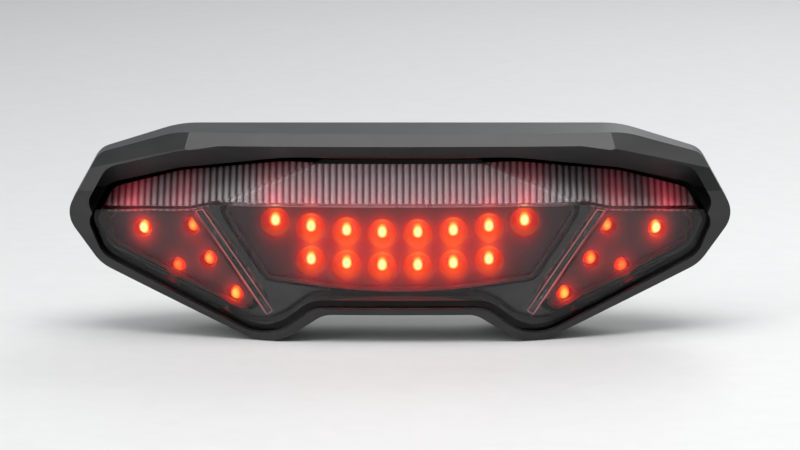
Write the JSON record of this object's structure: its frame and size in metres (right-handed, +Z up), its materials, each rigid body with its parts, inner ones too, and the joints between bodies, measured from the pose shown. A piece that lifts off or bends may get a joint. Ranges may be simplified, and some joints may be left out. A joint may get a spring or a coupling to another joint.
{
  "type": "motorcycle tail light",
  "caption": "Wide faceted tail light: clear lens with a ribbed upper band over rows of red diodes, black visor bezel and a bolt-on rear housing.",
  "frame": {"origin": "centre of the four mounting bolts, on the plane of the housing's rear bosses", "axes": "+Z up, -Y the way the light shines, +X to the right of a viewer who faces the lens"},
  "size_m": [0.2404, 0.068, 0.0758],
  "materials": {
    "lens_clear": "clear moulded polycarbonate",
    "flutes_clear": "clear ribbed polycarbonate",
    "blade_clear": "clear acrylic, polished edges",
    "bezel_black": "fine-grained black moulding",
    "housing_black": "black moulding",
    "trim_dark": "dark grey moulding",
    "seal_rubber": "matt black",
    "reflector_bright": "metallised moulding",
    "board_mask": "dark green solder mask",
    "led_package": "moulded diode package",
    "led_dome": "lit red diode dome",
    "screw_steel": "zinc-plated steel",
    "brass": "knurled brass",
    "contact_tin": "tinned contact",
    "chip_black": "moulded epoxy",
    "can_aluminium": "aluminium can",
    "resistor_black": "ceramic body",
    "header_cream": "nylon connector",
    "wire_red": "vinyl insulation",
    "membrane_white": "porous membrane"
  },
  "bodies": {
    "root": {"bezel": "bezel_black", "bezel_screws": "screw_steel", "board_headers": "header_cream", "board_resistors": "resistor_black", "capacitors": "can_aluminium", "centre_board": "board_mask", "centre_board_screws": "screw_steel", "centre_led_domes": "led_dome", "centre_led_packages": "led_package", "centre_reflector": "reflector_bright", "driver_chips": "chip_black", "fluted_band": "flutes_clear", "inlet_contacts": "contact_tin", "inlet_seal": "seal_rubber", "left_board": "board_mask", "left_board_screws": "screw_steel", "left_jumper_lead": "wire_red", "left_led_domes": "led_dome", "left_led_packages": "led_package", "left_light_blade": "blade_clear", "left_reflector": "reflector_bright", "left_trim": "trim_dark", "lens_seal": "seal_rubber", "outer_lens": "lens_clear", "protection_diodes": "chip_black", "rear_housing": "housing_black", "regulator": "chip_black", "right_board": "board_mask", "right_board_screws": "screw_steel", "right_jumper_lead": "wire_red", "right_led_domes": "led_dome", "right_led_packages": "led_package", "right_light_blade": "blade_clear", "right_reflector": "reflector_bright", "right_trim": "trim_dark", "threaded_inserts": "brass", "upper_reflector": "reflector_bright", "vent_caps": "housing_black", "vent_membranes": "membrane_white"}
  },
  "joints": []
}
